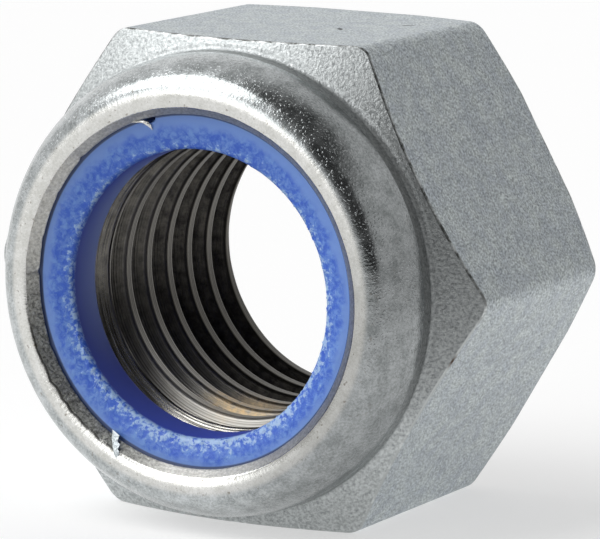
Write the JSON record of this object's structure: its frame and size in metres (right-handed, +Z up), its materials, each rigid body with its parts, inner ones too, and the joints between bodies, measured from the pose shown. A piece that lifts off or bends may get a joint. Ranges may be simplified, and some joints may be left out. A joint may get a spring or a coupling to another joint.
{
  "type": "nylon insert lock nut",
  "caption": "Hexagon lock nut with a rolled collar that holds a blue nylon ring over a coarse metric thread, lying on one flat.",
  "frame": {"origin": "on the thread axis, halfway along the nut, which is the centre of its bounding box", "axes": "+Y along the thread axis, out of the bearing face (the collar with the insert faces -Y); +Z up, square to the two level flats; +X through two corners of the hexagon"},
  "size_m": [0.0412, 0.0272, 0.036],
  "materials": {
    "zinc_plated_steel": "zinc plated over a tumbled, fine-grained surface, satin",
    "blue_nylon": "moulded nylon, semi-matt, scuffed at the inner edge"
  },
  "bodies": {
    "root": {"nut_body": "zinc_plated_steel", "nylon_insert": "blue_nylon"}
  },
  "joints": []
}
